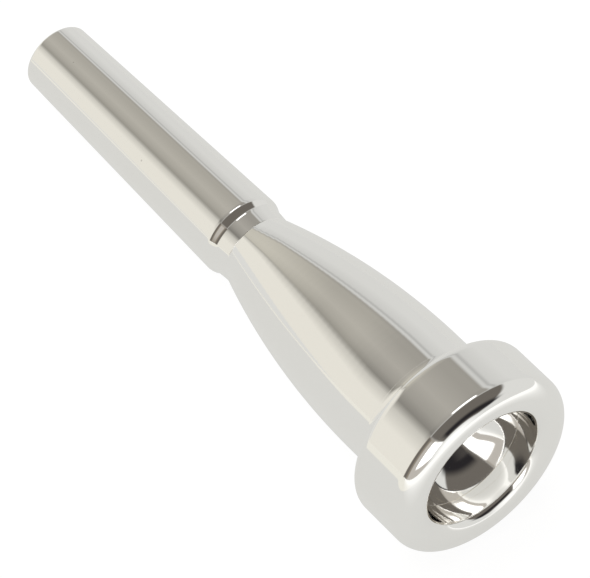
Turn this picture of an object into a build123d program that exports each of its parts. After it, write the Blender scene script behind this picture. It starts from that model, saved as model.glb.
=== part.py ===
"""Trumpet mouthpiece in three turned pieces that screw together: the shank, the cup body and the rim.

Units are millimetres. The air column runs along X: the shank's small end is at x = 0, the rim faces +X, +Z is up.
Every piece is one closed outline in the XZ plane (x along the axis, height = radius), revolved about X.
"""

import os
from math import asin, cos, degrees, radians, sin, tan

from build123d import *

# Overall sizes
total_length = 88.0
shank_end_radius = 4.8
shank_taper = 1 / 38.4  # radius gained per mm, the 1:19.2 taper of a standard receiver
end_break = 0.35  # rounding on the outer edge of the shank's small end
mouth_break = 0.2  # the same on its inner edge

# Shank's shoulder and neck
shoulder_x = 39.65
shoulder_radius = shank_end_radius + shank_taper * shoulder_x
neck_start_x = 40.65
neck_start_radius = 5.36
neck_x = 43.0  # crease where the neck meets the cup body, and the seam between the two pieces
neck_radius = 5.18
shoulder_round = 1.6
neck_round = 2.0

# Cup body's outside: one long arc that swells from the neck and levels out
body_radius = 9.52
body_level_x = 72.0
swell = body_radius - neck_radius
body_arc_radius = ((body_level_x - neck_x) ** 2 + swell**2) / (2 * swell)

# Rim ring's outside
collar_radius = 13.28
ring_start_x = 75.9  # the ring's back edge, a fine step on the body
ring_edge_radius = 9.82
collar_back_x = 78.0
flare_round = 1.85  # hollow curve from the back edge up to the collar
flare_start_x = collar_back_x - flare_round
flare_end_radius = ring_edge_radius + flare_round
collar_back_round = 1.55
collar_start_x = collar_back_x + collar_back_round
front_round = 2.4  # outer rounding of the rim
front_start_x = total_length - front_round
crest_outer_radius = collar_radius - front_round
crest_inner_radius = 10.65  # the crest is a narrow flat land between these two radii
bite_x = total_length - 1.25  # where the inner rounding of the rim meets the cup wall
bite_radius = 8.5

# Air column
bowl_arc_radius = 8.4  # the bowl is one round arc that starts straight along the axis at the bite
bowl_arc_turn = 45  # degrees
throat_radius = 1.83
throat_end_x = 65.5
throat_round = 2.5
backbore_knee_x = 42.0
backbore_knee_radius = 2.95
backbore_end_radius = 4.1
backbore_knee_round = 200

# Joint between the rim and the cup body
ring_seat_x = 84.0  # the body's front face, which the ring's inner shoulder closes on
nose_radius = 8.95
nose_start_x = 82.6
ring_thread_start_x = 78.4
ring_thread_count = 4
ring_thread_pitch = 1.0
ring_thread_depth = 0.36

# Joint between the shank and the cup body
tenon_radius = 3.96
tenon_end_x = 54.0
pilot_radius = 3.4
pilot_start_x = 51.8
tenon_thread_start_x = 45.0
tenon_thread_count = 8
tenon_thread_pitch = 0.8
tenon_thread_depth = 0.34

fit_clearance = 0.03  # radial, between a male land or crest and the bore round it
ring_bore_radius = body_radius + fit_clearance
socket_radius = tenon_radius + fit_clearance
groove_clearance = 0.04  # extra depth of a female groove
nose_clearance = 0.05
floor_gap = 0.1  # left at the blind end of each socket
chamfer_size = 0.2


def bowl_point(turn):
    """Point of the bowl's arc after a turn in degrees from the bite."""
    angle = radians(turn)
    return (bite_x - bowl_arc_radius * sin(angle), bite_radius - bowl_arc_radius * (1 - cos(angle)))


def bowl_arc(first_turn, last_turn):
    """Stretch of the bowl's arc between two turns in degrees from the bite."""
    centre = (bite_x, bite_radius - bowl_arc_radius)
    return CenterArc(centre, bowl_arc_radius, 90 + first_turn, last_turn - first_turn)


def backbore_radius(x):
    """Radius of the first, quickly opening stretch of the backbore."""
    share = (throat_end_x - x) / (throat_end_x - backbore_knee_x)
    return throat_radius + share * (backbore_knee_radius - throat_radius)


def thread_points(start_x, count, pitch, crest_radius, root_radius):
    """Outline of a thread drawn as rings, from its first crest to its last, in rising x.

    A socket's rings start half a pitch before the rings that it takes, so that each groove faces a crest.
    """
    points = []
    for turn in range(count):
        left = start_x + turn * pitch
        points.append((left, crest_radius))
        points.append((left + 0.2 * pitch, crest_radius))
        points.append((left + 0.5 * pitch, root_radius))
        points.append((left + 0.7 * pitch, root_radius))
    points.append((start_x + count * pitch, crest_radius))
    return points


def corner(outline, x, radius):
    """The outline's corner nearest to a point given as x and radius."""
    return outline.vertices().sort_by_distance((x, radius, 0))[0]


os.makedirs("parts", exist_ok=True)

seat_turn = degrees(asin((bite_x - ring_seat_x) / bowl_arc_radius))
seat_bore_radius = bowl_point(seat_turn)[1]
bowl_end_x, bowl_end_radius = bowl_point(bowl_arc_turn)
throat_start_x = bowl_end_x - (bowl_end_radius - throat_radius) / tan(radians(bowl_arc_turn))

# Shank: tapered outside, rounded shoulder, short neck, and a threaded tenon with a pilot in front
with BuildPart() as shank:
    with BuildSketch(Plane.XZ) as shank_section:
        with BuildLine():
            FilletPolyline(
                (0, shank_end_radius),
                (shoulder_x, shoulder_radius),
                (neck_start_x, neck_start_radius),
                (neck_x, neck_radius),
                radius=[shoulder_round, neck_round],
            )
            Polyline(
                (neck_x, neck_radius),
                (neck_x, tenon_radius),
                thread_points(
                    tenon_thread_start_x,
                    tenon_thread_count,
                    tenon_thread_pitch,
                    tenon_radius,
                    tenon_radius - tenon_thread_depth,
                ),
                (pilot_start_x - chamfer_size, tenon_radius),
                (pilot_start_x - chamfer_size, pilot_radius),
                (tenon_end_x, pilot_radius),
                (tenon_end_x, backbore_radius(tenon_end_x)),
            )
            FilletPolyline(
                (tenon_end_x, backbore_radius(tenon_end_x)),
                (backbore_knee_x, backbore_knee_radius),
                (0, backbore_end_radius),
                radius=[backbore_knee_round],
            )
            Line((0, backbore_end_radius), (0, shank_end_radius))
        make_face()
        fillet(corner(shank_section, 0, shank_end_radius), end_break)
        fillet(corner(shank_section, 0, backbore_end_radius), mouth_break)
        chamfer(corner(shank_section, tenon_end_x, pilot_radius), chamfer_size)
    revolve(axis=Axis.X)

# Cup body: swelling outside, threaded spigot for the rim, bowl, throat, and a threaded socket for the shank
with BuildPart() as cup_body:
    with BuildSketch(Plane.XZ) as cup_section:
        with BuildLine():
            RadiusArc((neck_x, neck_radius), (body_level_x, body_radius), body_arc_radius)
            Polyline(
                (body_level_x, body_radius),
                thread_points(
                    ring_thread_start_x,
                    ring_thread_count,
                    ring_thread_pitch,
                    body_radius,
                    body_radius - ring_thread_depth,
                )[:-1],
                (nose_start_x, body_radius - ring_thread_depth),
                (nose_start_x, nose_radius),
                (ring_seat_x, nose_radius),
                (ring_seat_x, seat_bore_radius),
            )
            bowl_arc(seat_turn, bowl_arc_turn)
            FilletPolyline(
                (bowl_end_x, bowl_end_radius),
                (throat_start_x, throat_radius),
                (throat_end_x, throat_radius),
                radius=[throat_round],
            )
            Polyline(
                (throat_end_x, throat_radius),
                (tenon_end_x + floor_gap, backbore_radius(tenon_end_x + floor_gap)),
                (tenon_end_x + floor_gap, pilot_radius + nose_clearance),
                (pilot_start_x, pilot_radius + nose_clearance),
                (pilot_start_x, socket_radius),
                thread_points(
                    tenon_thread_start_x - tenon_thread_pitch / 2,
                    tenon_thread_count,
                    tenon_thread_pitch,
                    socket_radius,
                    socket_radius + tenon_thread_depth + groove_clearance,
                )[::-1],
                (neck_x, socket_radius),
                (neck_x, neck_radius),
            )
        make_face()
        chamfer(corner(cup_section, ring_seat_x, nose_radius), chamfer_size)
        chamfer(corner(cup_section, neck_x, socket_radius), chamfer_size)
    revolve(axis=Axis.X)

# Rim: the collar ring and the rounded rim in one piece, with a threaded bore that takes the cup body's spigot
with BuildPart() as rim:
    with BuildSketch(Plane.XZ) as rim_section:
        with BuildLine():
            Polyline(
                (ring_start_x, ring_bore_radius),
                (ring_start_x, ring_edge_radius),
                (flare_start_x, ring_edge_radius),
            )
            CenterArc((flare_start_x, flare_end_radius), flare_round, -90, 90)
            Line((collar_back_x, flare_end_radius), (collar_back_x, collar_radius - collar_back_round))
            CenterArc((collar_start_x, collar_radius - collar_back_round), collar_back_round, 90, 90)
            Line((collar_start_x, collar_radius), (front_start_x, collar_radius))
            CenterArc((front_start_x, crest_outer_radius), front_round, 0, 90)
            Line((total_length, crest_outer_radius), (total_length, crest_inner_radius))
            EllipticalCenterArc(
                (bite_x, crest_inner_radius),
                total_length - bite_x,
                crest_inner_radius - bite_radius,
                start_angle=-90,
                arc_size=90,
            )
            bowl_arc(0, seat_turn)
            Polyline(
                (ring_seat_x, seat_bore_radius),
                (ring_seat_x, nose_radius + nose_clearance),
                (nose_start_x + floor_gap, nose_radius + nose_clearance),
                (nose_start_x + floor_gap, ring_bore_radius),
                thread_points(
                    ring_thread_start_x - ring_thread_pitch / 2,
                    ring_thread_count,
                    ring_thread_pitch,
                    ring_bore_radius,
                    ring_bore_radius + ring_thread_depth + groove_clearance,
                )[::-1],
                (ring_start_x, ring_bore_radius),
            )
        make_face()
    revolve(axis=Axis.X)

for name, piece in (("shank", shank), ("cup_body", cup_body), ("rim", rim)):
    piece.part.label = name
    export_step(piece.part, f"parts/{name}.step")
    print(name, round(piece.part.volume, 1), "mm3")
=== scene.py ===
import math
import bpy
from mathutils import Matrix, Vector


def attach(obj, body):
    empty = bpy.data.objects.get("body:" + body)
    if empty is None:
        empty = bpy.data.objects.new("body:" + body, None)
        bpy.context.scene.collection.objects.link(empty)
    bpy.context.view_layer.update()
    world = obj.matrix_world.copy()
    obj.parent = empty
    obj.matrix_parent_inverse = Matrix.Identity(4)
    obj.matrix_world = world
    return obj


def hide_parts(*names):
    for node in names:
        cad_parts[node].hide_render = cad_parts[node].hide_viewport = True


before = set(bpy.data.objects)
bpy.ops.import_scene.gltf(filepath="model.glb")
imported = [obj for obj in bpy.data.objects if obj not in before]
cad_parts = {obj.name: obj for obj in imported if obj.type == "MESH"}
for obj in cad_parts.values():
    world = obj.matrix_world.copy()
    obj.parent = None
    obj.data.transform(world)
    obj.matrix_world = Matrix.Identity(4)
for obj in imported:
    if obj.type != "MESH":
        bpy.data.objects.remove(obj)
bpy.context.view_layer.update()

mm = 0.001
micron = 0.000001
print("frame loaded:", ", ".join(sorted(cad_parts)))


# Camera: a long lens that looks down at the rim end, with the air column along X
cameraSettings = {
    "azimuth": 52.04, "elevation": 49.04,  # degrees; azimuth 90 looks along -X into the cup
    "distance": 545.1, "aimAlongAxis": 50.74,  # mm
    "slideRight": -0.192, "slideUp": -0.077,  # mm, the whole camera in its own picture plane
    "lens": 267.7,  # mm on a 36 mm sensor
}


def addCamera(s):
    turn, rise = math.radians(s["azimuth"]), math.radians(s["elevation"])
    back = Vector((math.sin(turn) * math.cos(rise), -math.cos(turn) * math.cos(rise), math.sin(rise)))
    right = Vector((math.cos(turn), math.sin(turn), 0))
    up = back.cross(right)
    place = Vector((s["aimAlongAxis"], 0, 0)) + s["distance"] * back
    place += s["slideRight"] * right + s["slideUp"] * up
    bpy.ops.object.camera_add(location=place * mm, rotation=back.to_track_quat("Z", "Y").to_euler())
    camera = bpy.context.object
    camera.name = "mainCamera"
    camera.data.lens = s["lens"]
    camera.data.clip_start = 0.01
    bpy.context.scene.camera = camera


addCamera(cameraSettings)
print("camera set")


# Outlines: corners as (x, radius) or (x, radius, rounding), in mm, later turned about X
outlineSettings = {
    "turnStep": 2.0,  # degrees of rounding for each point
    "guard": 0.1, "guardedFrom": 0.4,  # mm
}


def roundCorner(before, corner, after, size, turnStep):
    # size is a radius, or a pair of reaches along the two sides for an elliptical rounding
    u, v = (before - corner).normalized(), (after - corner).normalized()
    turn = math.pi - u.angle(v)
    steps = max(2, math.ceil(math.degrees(turn) / turnStep))
    if isinstance(size, tuple):
        angles = [math.pi / 2 * i / steps for i in range(steps + 1)]
        return [corner + u * size[0] * (1 - math.sin(a)) + v * size[1] * (1 - math.cos(a)) for a in angles]
    reach = size * math.tan(turn / 2)
    start = corner + u * reach
    inward = (v - u * u.dot(v)).normalized()
    centre = start + inward * size
    angles = [turn * i / steps for i in range(steps + 1)]
    return [centre - inward * size * math.cos(a) - u * size * math.sin(a) for a in angles]


def traceOutline(corners):
    # long straight cuts get a guard point near both ends, which keeps their shading straight
    turnStep, guard = outlineSettings["turnStep"], outlineSettings["guard"]
    ends = [Vector(c[:2]) for c in corners]
    points = []
    for i, c in enumerate(corners):
        before, after = ends[i - 1], ends[(i + 1) % len(ends)]
        points += roundCorner(before, ends[i], after, c[2], turnStep) if len(c) > 2 else [ends[i]]
    traced = []
    for i, here in enumerate(points):
        there = points[(i + 1) % len(points)]
        traced.append(here)
        gap = there - here
        if gap.length > outlineSettings["guardedFrom"]:
            traced += [here + gap.normalized() * guard, there - gap.normalized() * guard]
    return traced


def threadCorners(startX, count, pitch, crest, root):
    # rings at the thread's pitch, crest first, in rising x
    corners = []
    for turn in range(count):
        left = startX + turn * pitch
        corners += [(left, crest), (left + 0.2 * pitch, crest)]
        corners += [(left + 0.5 * pitch, root), (left + 0.7 * pitch, root)]
    return corners + [(startX + count * pitch, crest)]


# Turning: an outline is drawn point by point in edit mode, spun about X, closed and shaded
turningSettings = {"steps": 240, "smoothAngle": 30, "mergeWithin": 0.002}  # degrees, mm


def turnPiece(name, corners, body, node):
    outline = traceOutline(corners)
    outline.append(outline[0])
    bpy.ops.object.select_all(action="DESELECT")
    first = outline[0] * mm
    bpy.ops.mesh.primitive_plane_add(size=mm, location=(first.x, 0, first.y))
    piece = bpy.context.object
    piece.name = piece.data.name = name
    bpy.ops.object.mode_set(mode="EDIT")
    bpy.ops.mesh.select_all(action="SELECT")
    bpy.ops.mesh.merge(type="CENTER")
    for here, there in zip(outline, outline[1:]):
        step = (there - here) * mm
        bpy.ops.mesh.extrude_region_move(TRANSFORM_OT_translate={"value": (step.x, 0, step.y)})
    bpy.ops.mesh.select_all(action="SELECT")
    bpy.ops.mesh.spin(steps=turningSettings["steps"], angle=2 * math.pi, center=(0, 0, 0), axis=(1, 0, 0))
    bpy.ops.mesh.select_all(action="SELECT")
    bpy.ops.mesh.remove_doubles(threshold=turningSettings["mergeWithin"] * mm)
    bpy.ops.mesh.normals_make_consistent(inside=False)
    bpy.ops.object.mode_set(mode="OBJECT")
    bpy.ops.object.transform_apply(location=True, rotation=True, scale=True)
    bpy.ops.object.shade_smooth_by_angle(angle=math.radians(turningSettings["smoothAngle"]))
    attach(piece, body)
    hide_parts(node)
    print(name, "turned:", len(piece.data.polygons), "faces")
    return piece


def finishFaces(piece, finish, fromX=0, toX=math.inf, lowRadius=0, highRadius=math.inf, facing=0):
    # paints the faces between two places along X and two radii; facing 1 is outwards, -1 inwards
    slot = piece.data.materials.find(finish.name)
    if slot < 0:
        piece.data.materials.append(finish)
        slot = len(piece.data.materials) - 1
    for face in piece.data.polygons:
        x, y, z = face.center / mm
        outward = face.normal.y * y + face.normal.z * z
        if fromX <= x <= toX and lowRadius <= math.hypot(y, z) <= highRadius and outward * facing >= 0:
            face.material_index = slot


# Node helpers and the groups that the finishes share
def addNode(tree, kind, links=(), **settings):
    # links go from an output socket, or a plain value, into the named input
    node = tree.nodes.new(kind)
    for key, value in settings.items():
        setattr(node, key, value)
    for key, value in dict(links).items():
        if isinstance(value, bpy.types.NodeSocket):
            tree.links.new(value, node.inputs[key])
        else:
            node.inputs[key].default_value = value
    return node


def newGroup(name, inputs, outputs):
    tree = bpy.data.node_groups.new(name, "ShaderNodeTree")
    for label, kind, value in inputs:
        socket = tree.interface.new_socket(name=label, in_out="INPUT", socket_type=kind)
        if value is not None:
            socket.default_value = value
    for label in outputs:
        tree.interface.new_socket(name=label, in_out="OUTPUT", socket_type="NodeSocketFloat")
    return tree, tree.nodes.new("NodeGroupInput").outputs, tree.nodes.new("NodeGroupOutput").inputs


def maths(tree, operation, a, b=0.0, clamp=False):
    node = addNode(tree, "ShaderNodeMath", {0: a, 1: b}, operation=operation, use_clamp=clamp)
    return node.outputs[0]


def spread(tree, value, fromLow, fromHigh, toLow=0.0, toHigh=1.0, **settings):
    node = addNode(tree, "ShaderNodeMapRange", {"Value": value, "From Min": fromLow, "From Max": fromHigh,
                   "To Min": toLow, "To Max": toHigh}, **settings)
    return node.outputs[0]


def noise(tree, place, scale, detail=1.0, **settings):
    node = addNode(tree, "ShaderNodeTexNoise", {"Vector": place, "Scale": scale, "Detail": detail}, **settings)
    return node.outputs[0]


def cover(tree, over, mask, under):
    # the colour over hides the colour under where the mask is 1
    node = addNode(tree, "ShaderNodeMix", {"Factor": mask, 6: under, 7: over}, data_type="RGBA")
    return node.outputs[2]


def window(tree, value, low, high, soft):
    # 1 between low and high, falling to 0 over soft on each side
    smooth = {"interpolation_type": "SMOOTHSTEP"}
    rise = spread(tree, maths(tree, "SUBTRACT", value, low), -soft, soft, **smooth)
    fall = spread(tree, maths(tree, "SUBTRACT", value, high), -soft, soft, 1.0, 0.0, **smooth)
    return maths(tree, "MULTIPLY", rise, fall)


ringPattern = {"driftPerM": 140.0, "chatterBeats": 9.0, "chatterScale": 0.6, "detail": 3.0}


def latheRingsGroup(s):
    tree, given, out = newGroup("latheRings", [
        ("Vector", "NodeSocketVector", None), ("Rings per m", "NodeSocketFloat", 9000.0),
        ("Wobble", "NodeSocketFloat", 0.1), ("Chatter", "NodeSocketFloat", 0.0)], ["Height"])
    x, y, z = addNode(tree, "ShaderNodeSeparateXYZ", {0: given["Vector"]}).outputs
    across = addNode(tree, "ShaderNodeCombineXYZ", {1: y, 2: z}).outputs[0]
    radius = addNode(tree, "ShaderNodeVectorMath", {0: across}, operation="LENGTH").outputs["Value"]
    drift = noise(tree, given["Vector"], s["driftPerM"])
    shift = maths(tree, "MULTIPLY", maths(tree, "SUBTRACT", drift, 0.5), given["Wobble"])
    along = maths(tree, "ADD", maths(tree, "MULTIPLY", x, given["Rings per m"]), shift)
    outward = maths(tree, "MULTIPLY", radius, given["Rings per m"])
    spot = addNode(tree, "ShaderNodeCombineXYZ", {0: along, 1: outward}).outputs[0]
    rings = noise(tree, spot, 1.0, s["detail"], noise_dimensions="2D")
    beats = maths(tree, "MULTIPLY", maths(tree, "ARCTAN2", z, y), s["chatterBeats"])
    beat = addNode(tree, "ShaderNodeCombineXYZ", {0: beats, 1: along}).outputs[0]
    chatter = noise(tree, beat, s["chatterScale"], noise_dimensions="2D")
    tremble = maths(tree, "MULTIPLY", maths(tree, "SUBTRACT", chatter, 0.5), given["Chatter"])
    tree.links.new(maths(tree, "ADD", rings, tremble), out["Height"])
    return tree


scuffPattern = {
    "hairlines": [((0.4, 0.9, 0.2), (60, 2600, 2600)), ((1.3, 0.2, 2.1), (90, 3400, 3400))],  # turn, scale
    "hairlineCut": (0.66, 0.74), "patchesPerM": 160.0, "patchCut": (0.42, 0.66), "hazePerM": 55.0,
    "specksPerM": 330.0, "speckEdge": (0.05, 0.09), "speckChance": 0.045,
}


def scuffsGroup(s):
    tree, given, out = newGroup("handlingScuffs", [
        ("Vector", "NodeSocketVector", None), ("Amount", "NodeSocketFloat", 0.5)],
        ["Hairlines", "Haze", "Specks"])
    place = given["Vector"]
    masks = []
    for turn, scale in s["hairlines"]:
        turned = addNode(tree, "ShaderNodeMapping", {"Vector": place, "Rotation": turn, "Scale": scale})
        masks.append(spread(tree, noise(tree, turned.outputs[0], 1.0), *s["hairlineCut"]))
    patchy = spread(tree, noise(tree, place, s["patchesPerM"], 2.0), *s["patchCut"])
    hairlines = maths(tree, "MULTIPLY", maths(tree, "MAXIMUM", *masks), patchy)
    tree.links.new(maths(tree, "MULTIPLY", hairlines, given["Amount"]), out["Hairlines"])
    tree.links.new(noise(tree, place, s["hazePerM"], 3.0), out["Haze"])
    cells = addNode(tree, "ShaderNodeTexVoronoi", {"Vector": place, "Scale": s["specksPerM"]})
    near = spread(tree, cells.outputs["Distance"], *s["speckEdge"], 1.0, 0.0)
    chance = addNode(tree, "ShaderNodeSeparateColor", {0: cells.outputs["Color"]}).outputs[0]
    rare = maths(tree, "GREATER_THAN", chance, 1 - s["speckChance"])
    tree.links.new(maths(tree, "MULTIPLY", near, rare), out["Specks"])
    return tree


latheRings = latheRingsGroup(ringPattern)
handlingScuffs = scuffsGroup(scuffPattern)


def silverFinish(name, s):
    finish = bpy.data.materials.new(name)
    finish.use_nodes = True
    tree = finish.node_tree
    tree.nodes.clear()
    place = addNode(tree, "ShaderNodeTexCoord").outputs["Object"]
    rings = addNode(tree, "ShaderNodeGroup", node_tree=latheRings)
    marks = addNode(tree, "ShaderNodeGroup", node_tree=handlingScuffs)
    for node in (rings, marks):
        tree.links.new(place, node.inputs["Vector"])
    rings.inputs["Rings per m"].default_value = s["ringsPerMm"] * 1000
    rings.inputs["Wobble"].default_value = s["ringWobble"]
    rings.inputs["Chatter"].default_value = s["chatter"]
    marks.inputs["Amount"].default_value = s["hairlines"]
    tone = cover(tree, s["warmColor"], marks.outputs["Haze"], s["cleanColor"])
    speckle = maths(tree, "MULTIPLY", marks.outputs["Specks"], s["specks"])
    stained = cover(tree, s["speckColor"], speckle, tone)
    scratched = maths(tree, "MULTIPLY", marks.outputs["Hairlines"], s["hairlineRoughness"])
    rough = maths(tree, "MULTIPLY", marks.outputs["Haze"], s["hazeRoughness"])
    rough = maths(tree, "ADD", rough, s["roughness"])
    rough = maths(tree, "ADD", rough, scratched)
    rough = maths(tree, "ADD", rough, maths(tree, "MULTIPLY", speckle, s["speckRoughness"]), clamp=True)
    ringed = addNode(tree, "ShaderNodeBump", {"Height": rings.outputs["Height"], "Strength": 1.0,
                     "Distance": s["ringDepth"] * micron})
    waved = addNode(tree, "ShaderNodeBump", {"Height": noise(tree, place, s["wavesPerM"]), "Strength": 1.0,
                    "Distance": s["waveDepth"] * micron, "Normal": ringed.outputs[0]})
    metal = addNode(tree, "ShaderNodeBsdfPrincipled", {"Base Color": stained, "Metallic": 1.0,
                    "Roughness": rough, "Normal": waved.outputs[0]})
    addNode(tree, "ShaderNodeOutputMaterial", {"Surface": metal.outputs[0]})
    return finish


silverLooks = {
    "cleanColor": (0.96, 0.955, 0.94, 1), "warmColor": (0.945, 0.935, 0.91, 1),
    "speckColor": (0.12, 0.10, 0.08, 1), "specks": 0.8, "speckRoughness": 0.4,
    "roughness": 0.035, "hazeRoughness": 0.03, "hairlines": 0.5, "hairlineRoughness": 0.14,
    "ringsPerMm": 9, "ringWobble": 0.15, "chatter": 0.0, "ringDepth": 0.05,  # depths in microns
    "wavesPerM": 260, "waveDepth": 1.0,
}
bowlLooks = {
    **silverLooks, "ringsPerMm": 3.2, "ringDepth": 0.12, "chatter": 0.5, "roughness": 0.045, "hairlines": 0.2,
}
boreLooks = {
    **silverLooks, "ringsPerMm": 6, "ringDepth": 0.9, "roughness": 0.12,
    "cleanColor": (0.86, 0.83, 0.77, 1), "warmColor": (0.74, 0.69, 0.6, 1),
}
threadLooks = {
    **silverLooks, "ringsPerMm": 14, "ringDepth": 0.8, "roughness": 0.16,
    "cleanColor": (0.9, 0.87, 0.8, 1), "warmColor": (0.8, 0.72, 0.55, 1),
}
polishedSilver = silverFinish("polishedSilver", silverLooks)
bowlSilver = silverFinish("bowlSilver", bowlLooks)
boreSilver = silverFinish("boreSilver", boreLooks)
threadSilver = silverFinish("threadSilver", threadLooks)
print("finishes made")


# Shank: taper, rounded shoulder, neck, threaded tenon with a pilot, and the backbore inside
shankSizes = {
    "endRadius": 4.8, "taper": 1 / 38.4, "endBreak": 0.35, "mouthBreak": 0.2,
    "shoulderX": 39.65, "shoulderRound": 1.6, "neckStartX": 40.65, "neckStartRadius": 5.36, "neckRound": 2.0,
    "seamX": 43.0, "seamRadius": 5.18, "seamBreak": 0.05,
    "tenonRadius": 3.96, "threadX": 45.0, "threadCount": 8, "threadPitch": 0.8, "threadDepth": 0.34,
    "pilotX": 51.6, "pilotRadius": 3.4, "tenonEndX": 54.0,
    "kneeX": 42.0, "kneeRadius": 2.95, "kneeRound": 200, "boreEndRadius": 4.1,
    "throatEndX": 65.5, "throatRadius": 1.83,
}


def boreRadius(x):
    # the backbore's first, steeper stretch, from the throat to the knee
    s = shankSizes
    opening = s["kneeRadius"] - s["throatRadius"]
    return s["throatRadius"] + opening * (x - s["throatEndX"]) / (s["kneeX"] - s["throatEndX"])


def shankCorners(s):
    tipBore = boreRadius(s["tenonEndX"])
    return [
        (0, s["endRadius"], s["endBreak"]),
        (s["shoulderX"], s["endRadius"] + s["taper"] * s["shoulderX"], s["shoulderRound"]),
        (s["neckStartX"], s["neckStartRadius"], s["neckRound"]),
        (s["seamX"], s["seamRadius"], s["seamBreak"]),
        (s["seamX"], s["tenonRadius"]),
        *threadCorners(s["threadX"], s["threadCount"], s["threadPitch"], s["tenonRadius"],
                       s["tenonRadius"] - s["threadDepth"]),
        (s["pilotX"], s["tenonRadius"]),
        (s["pilotX"], s["pilotRadius"]),
        (s["tenonEndX"], s["pilotRadius"], s["mouthBreak"]),
        (s["tenonEndX"], tipBore),
        (s["kneeX"], s["kneeRadius"], s["kneeRound"]),
        (0, s["boreEndRadius"], s["mouthBreak"]),
    ]


shank = turnPiece("shankTurned", shankCorners(shankSizes), "shank", "shank")
finishFaces(shank, polishedSilver)
finishFaces(shank, boreSilver, fromX=0.25, highRadius=4.2, facing=-1)
finishFaces(shank, threadSilver, fromX=shankSizes["seamX"] + 0.05, lowRadius=3.1, facing=1)


# Cup body: one long swelling arc outside, the spigot for the rim, bowl and throat, the shank's socket
cupSizes = {
    "seamX": 43.0, "seamRadius": 5.18, "seamBreak": 0.05, "levelX": 72.0, "bodyRadius": 9.52, "arcStep": 1.0,
    "threadX": 78.4, "threadCount": 4, "threadPitch": 1.0, "threadDepth": 0.36,
    "noseX": 82.6, "noseRadius": 8.95, "seatX": 84.0, "noseBreak": 0.2,
    "biteX": 86.75, "biteRadius": 8.5, "bowlRadius": 8.4, "bowlTurn": 45,  # degrees
    "seatBreak": 0.02, "seatBreakTurn": 0.4,
    "throatRadius": 1.83, "throatRound": 2.5, "throatEndX": 65.5, "bowlStartX": 75.6,
    "socketEndX": 54.1, "pilotRadius": 3.45, "pilotX": 51.8, "socketRadius": 3.99, "socketBreak": 0.2,
    "socketThreadX": 44.6, "socketThreadCount": 8, "socketThreadPitch": 0.8, "socketThreadRoot": 4.37,
}


def bodyArc(s):
    swell = s["bodyRadius"] - s["seamRadius"]
    reach = s["levelX"] - s["seamX"]
    bend = (reach**2 + swell**2) / (2 * swell)
    count = round(reach / s["arcStep"])
    stations = [s["seamX"] + reach * i / count for i in range(1, count + 1)]
    return [(x, s["bodyRadius"] - bend + math.sqrt(bend**2 - (s["levelX"] - x) ** 2)) for x in stations]


def bowlPoint(s, turn):
    angle = math.radians(turn)
    x = s["biteX"] - s["bowlRadius"] * math.sin(angle)
    return x, s["biteRadius"] - s["bowlRadius"] * (1 - math.cos(angle))


def bowlCorner(s, fromTurn, toTurn):
    # the corner whose rounding is the bowl's arc between two turns from the bite
    x, r = bowlPoint(s, fromTurn)
    reach = s["bowlRadius"] * math.tan(math.radians(toTurn - fromTurn) / 2)
    angle = math.radians(fromTurn)
    return x - reach * math.cos(angle), r - reach * math.sin(angle), s["bowlRadius"]


def cupCorners(s):
    seatTurn = math.degrees(math.asin((s["biteX"] - s["seatX"]) / s["bowlRadius"]))
    bowlEndX, bowlEndRadius = bowlPoint(s, s["bowlTurn"])
    throatX = bowlEndX - (bowlEndRadius - s["throatRadius"]) / math.tan(math.radians(s["bowlTurn"]))
    endBore = boreRadius(s["socketEndX"])
    return [
        (s["seamX"], s["seamRadius"], s["seamBreak"]),
        *bodyArc(s),
        *threadCorners(s["threadX"], s["threadCount"], s["threadPitch"], s["bodyRadius"],
                       s["bodyRadius"] - s["threadDepth"])[:-1],
        (s["noseX"], s["bodyRadius"] - s["threadDepth"]),
        (s["noseX"], s["noseRadius"]),
        (s["seatX"], s["noseRadius"], s["noseBreak"]),
        (*bowlPoint(s, seatTurn), s["seatBreak"]),
        bowlCorner(s, seatTurn + s["seatBreakTurn"], s["bowlTurn"]),
        (throatX, s["throatRadius"], s["throatRound"]),
        (s["throatEndX"], s["throatRadius"]),
        (s["socketEndX"], endBore),
        (s["socketEndX"], s["pilotRadius"]),
        (s["pilotX"], s["pilotRadius"]),
        (s["pilotX"], s["socketRadius"]),
        *threadCorners(s["socketThreadX"], s["socketThreadCount"], s["socketThreadPitch"], s["socketRadius"],
                       s["socketThreadRoot"])[::-1],
        (s["seamX"], s["socketRadius"], s["socketBreak"]),
    ]


cup = turnPiece("cupTurned", cupCorners(cupSizes), "cup", "cup_body")
finishFaces(cup, polishedSilver)
finishFaces(cup, bowlSilver, fromX=cupSizes["bowlStartX"], highRadius=8.6, facing=-1)
finishFaces(cup, boreSilver, fromX=54.2, toX=cupSizes["bowlStartX"], highRadius=3.4, facing=-1)
finishFaces(cup, threadSilver, fromX=cupSizes["seamX"] + 0.05, toX=54.2, highRadius=4.5)
finishFaces(cup, threadSilver, fromX=76.5, lowRadius=8.8, facing=1)


# Rim: the collar with its hollow back, the rounded rim and its softer inner edge, and the threaded bore
rimSizes = {
    "startX": 75.9, "boreRadius": 9.55, "edgeRadius": 9.82, "edgeBreak": 0.05,
    "backX": 78.0, "flareRound": 1.85, "collarRadius": 13.28, "backRound": 1.55,
    "faceX": 88.0, "frontRound": 2.4, "crestRadius": 10.65,
    "noseRadius": 9.0, "noseX": 82.7,
    "threadX": 77.9, "threadCount": 4, "threadPitch": 1.0, "threadRoot": 9.95,
}


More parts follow.
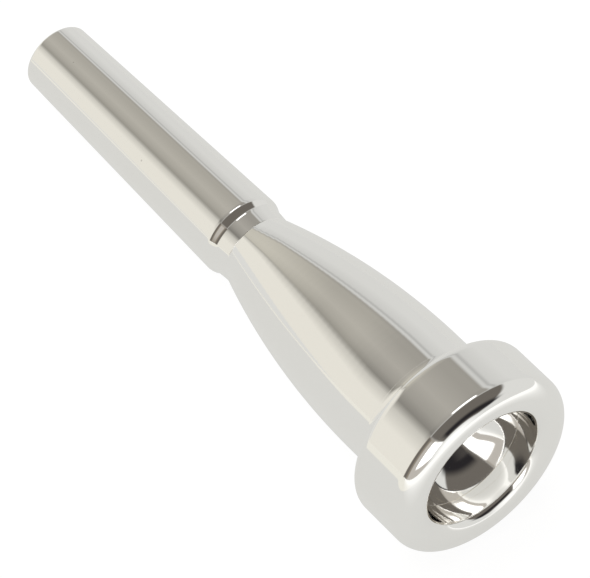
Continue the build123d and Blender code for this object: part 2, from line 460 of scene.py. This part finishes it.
def rimCorners(s, bowl):
    seatTurn = math.degrees(math.asin((bowl["biteX"] - bowl["seatX"]) / bowl["bowlRadius"]))
    lip = (s["crestRadius"] - bowl["biteRadius"], s["faceX"] - bowl["biteX"])
    return [
        (s["startX"], s["boreRadius"], s["edgeBreak"]),
        (s["startX"], s["edgeRadius"], s["edgeBreak"]),
        (s["backX"], s["edgeRadius"], s["flareRound"]),
        (s["backX"], s["collarRadius"], s["backRound"]),
        (s["faceX"], s["collarRadius"], s["frontRound"]),
        (s["faceX"], bowl["biteRadius"], lip),
        bowlCorner(bowl, 0, seatTurn - bowl["seatBreakTurn"]),
        (*bowlPoint(bowl, seatTurn), bowl["seatBreak"]),
        (bowl["seatX"], s["noseRadius"]),
        (s["noseX"], s["noseRadius"]),
        (s["noseX"], s["boreRadius"]),
        *threadCorners(s["threadX"], s["threadCount"], s["threadPitch"], s["boreRadius"],
                       s["threadRoot"])[::-1],
    ]


rim = turnPiece("rimTurned", rimCorners(rimSizes, cupSizes), "rim", "rim")
finishFaces(rim, polishedSilver)
finishFaces(rim, bowlSilver, fromX=84.05, toX=86.8, highRadius=8.6, facing=-1)
finishFaces(rim, threadSilver, fromX=75.95, toX=84.05, highRadius=10.2, facing=-1)


# Floor: a pale sheet that touches the shank's end and the back of the collar, as the mouthpiece lies on it.
# To the camera it is nearly white. In the metal it is light grey, cream near the viewer, white past the rim.
floorSettings = {
    "size": 6.0, "slope": 0.1067, "drop": 0.05, "glow": 0.85,
    "seen": (1.06, 1.06, 1.06), "grey": (0.725, 0.725, 0.705), "cream": (0.87, 0.855, 0.785),
    "white": (1.1, 1.1, 1.085), "creamPastY": (-0.089, -0.081), "whitePastX": (0.107, 0.19),  # m
}


def layFloor(s):
    bpy.ops.object.select_all(action="DESELECT")
    low = -(shankSizes["endRadius"] + s["drop"]) * mm
    bpy.ops.mesh.primitive_grid_add(x_subdivisions=2, y_subdivisions=1, size=s["size"], location=(0, 0, low))
    floor = bpy.context.object
    for corner in floor.data.vertices:
        corner.co.z = -s["slope"] * abs(corner.co.x)  # it falls away where the shank slides out, too
    bpy.ops.object.transform_apply(location=True, rotation=True, scale=True)
    floor.name = "paleFloor"
    paint = bpy.data.materials.new("paleFloorPaint")
    paint.use_nodes = True
    tree = paint.node_tree
    tree.nodes.clear()
    place = addNode(tree, "ShaderNodeTexCoord").outputs["Object"]
    x, y, z = addNode(tree, "ShaderNodeSeparateXYZ", {0: place}).outputs
    near = spread(tree, y, *s["creamPastY"], 1.0, 0.0)
    past = spread(tree, x, *s["whitePastX"])
    color = cover(tree, (*s["cream"], 1), near, (*s["grey"], 1))
    color = cover(tree, (*s["white"], 1), past, color)
    seen = addNode(tree, "ShaderNodeLightPath").outputs["Is Camera Ray"]
    color = cover(tree, (*s["seen"], 1), seen, color)
    matt = addNode(tree, "ShaderNodeBsdfDiffuse", {"Color": color})
    glow = addNode(tree, "ShaderNodeEmission", {"Color": color, "Strength": 1.0})
    sheet = addNode(tree, "ShaderNodeMixShader", {0: s["glow"], 1: matt.outputs[0], 2: glow.outputs[0]})
    addNode(tree, "ShaderNodeOutputMaterial", {"Surface": sheet.outputs[0]})
    floor.data.materials.append(paint)


layFloor(floorSettings)


# Room light: a pale tent round the X axis. Across it run a grey ceiling, whose soft dark edge turns into a
# cream front, and past the rim the viewer's dark place between two lamps.
# Directions are told by turn, degrees away from +X, and lean, degrees from straight up towards the viewer.
tent = {
    "bands": [  # place across the ceiling (0 and 1 are its edges), light there, tint
        (-0.5, 0.70, "coolness"), (-0.19, 0.62, "coolness"),  # back wall
        (-0.13, 0.46, "coolness"), (-0.08, 0.63, "coolness"), (-0.05, 0.62, "coolness"),  # a seam in it
        (0.0, 0.33, "warmth"), (0.2, 0.33, "warmth"), (0.6, 0.41, "warmth"),  # ceiling, lighter in the middle
        (0.85, 0.33, "warmth"), (1.01, 0.22, "warmth"),  # its dark front edge
        (1.15, 0.60, "cream"), (1.4, 0.82, "cream"),  # front
    ],
    "warmth": (1.0, 0.955, 0.87), "coolness": (1.0, 1.0, 0.975), "cream": (1.0, 0.972, 0.89),
    "ceilingLow": ((146, -33), (160, -15)), "ceilingHigh": ((118, 38), (150, 18)),  # (turn, lean) twice
    "frontLow": -95, "frontHigh": ((118, 97), (150, 79)), "frontSoft": 1.5,
    "fade": ((116, 0.0), (126, 0.3)), "fadeBack": ((134, 0.0), (150, 0.5)), "fadeTone": (0.62, 0.595, 0.52),
    "pale": (0.735, 0.735, 0.715), "white": (1.12, 1.12, 1.11), "whiteTurn": (5, 22),
    "frame": (0.27, 0.235, 0.19), "viewer": (0.15, 0.136, 0.12), "viewerCore": (0.022, 0.02, 0.022),
    "card": (0.52, 0.49, 0.45), "lamp": (2.2, 2.2, 2.2),
    "ceilingFade": (0.02, 1.05, 0.08),
    "screens": [  # colour, turns and their softness, leans and theirs; each stands in front of the last
        ("pale", (-20, 97), 2, (-200, 200), 2),
        ("viewer", (22, 95), 4, (-50, 42), 3),
        ("viewerCore", (26, 48), 8, (-58, 33), 6),
        ("lamp", (98, 105), 1.5, (-20, 10), 2),
        ("frame", (40, 100), 2, (42, 99), 2),
        ("viewer", (86, 98), 3, (42, 99), 2),
        ("card", (24, 78), 3, (44, 98), 3),
        ("lamp", (24, 60), 3, (44, 80), 3),
    ],
}


def lightRoom(s):
    world = bpy.data.worlds.new("paleTent")
    bpy.context.scene.world = world
    world.use_nodes = True
    tree = world.node_tree
    tree.nodes.clear()
    way = addNode(tree, "ShaderNodeTexCoord").outputs["Generated"]
    x, y, z = addNode(tree, "ShaderNodeSeparateXYZ", {0: way}).outputs
    turn = maths(tree, "MULTIPLY", maths(tree, "ARCCOSINE", x), 180 / math.pi)
    sideways = maths(tree, "ARCTAN2", maths(tree, "MULTIPLY", y, -1.0), z)
    lean = maths(tree, "MULTIPLY", sideways, 180 / math.pi)

    def along(pairs):
        (startTurn, start), (endTurn, end) = pairs
        return spread(tree, turn, startTurn, endTurn, start, end)

    low, high, front = along(s["ceilingLow"]), along(s["ceilingHigh"]), along(s["frontHigh"])
    across = maths(tree, "DIVIDE", maths(tree, "SUBTRACT", lean, low), maths(tree, "SUBTRACT", high, low))
    first, last = s["bands"][0][0], s["bands"][-1][0]
    ramp = addNode(tree, "ShaderNodeValToRGB", {0: spread(tree, across, first, last)})
    stops = ramp.color_ramp.elements
    stops.remove(stops[1])
    for i, (place, light, tint) in enumerate(s["bands"]):
        position = (place - first) / (last - first)
        stop = stops.new(position) if i else stops[0]
        stop.position = position
        stop.color = (*[light * t for t in s[tint]], 1)
    faded = maths(tree, "ADD", along(s["fade"]), along(s["fadeBack"]))
    inCeiling = maths(tree, "MULTIPLY", faded, window(tree, across, *s["ceilingFade"]))
    bands = cover(tree, (*s["fadeTone"], 1), inCeiling, ramp.outputs[0])
    inFront = window(tree, lean, s["frontLow"], front, s["frontSoft"])
    color = cover(tree, (*s["pale"], 1), maths(tree, "SUBTRACT", 1.0, inFront), bands)
    for name, turns, turnSoft, leans, leanSoft in s["screens"]:
        wide, tall = window(tree, turn, *turns, turnSoft), window(tree, lean, *leans, leanSoft)
        color = cover(tree, (*s[name], 1), maths(tree, "MULTIPLY", wide, tall), color)
    color = cover(tree, (*s["white"], 1), spread(tree, turn, *s["whiteTurn"], 1.0, 0.0), color)
    room = addNode(tree, "ShaderNodeBackground", {"Color": color, "Strength": 1.0})
    plain = addNode(tree, "ShaderNodeBackground", {"Color": (1, 1, 1, 1), "Strength": 1.0})
    seen = addNode(tree, "ShaderNodeLightPath").outputs["Is Camera Ray"]
    shown = addNode(tree, "ShaderNodeMixShader", {0: seen, 1: room.outputs[0], 2: plain.outputs[0]})
    addNode(tree, "ShaderNodeOutputWorld", {"Surface": shown.outputs[0]})


lightRoom(tent)

overheadSettings = {"tilt": (12, -10, 0), "width": 60, "energy": 1.4}  # degrees, degrees, W/m2


def addOverhead(s):
    bpy.ops.object.light_add(type="SUN", rotation=[math.radians(t) for t in s["tilt"]])
    overhead = bpy.context.object
    overhead.name = "overheadLight"
    overhead.data.energy = s["energy"]
    overhead.data.angle = math.radians(s["width"])
    overhead.visible_glossy = False  # it lights the floor and doesn't show in the metal


addOverhead(overheadSettings)
bpy.context.scene.view_settings.view_transform = "Standard"
bpy.context.scene.view_settings.look = "None"
print("room lit")
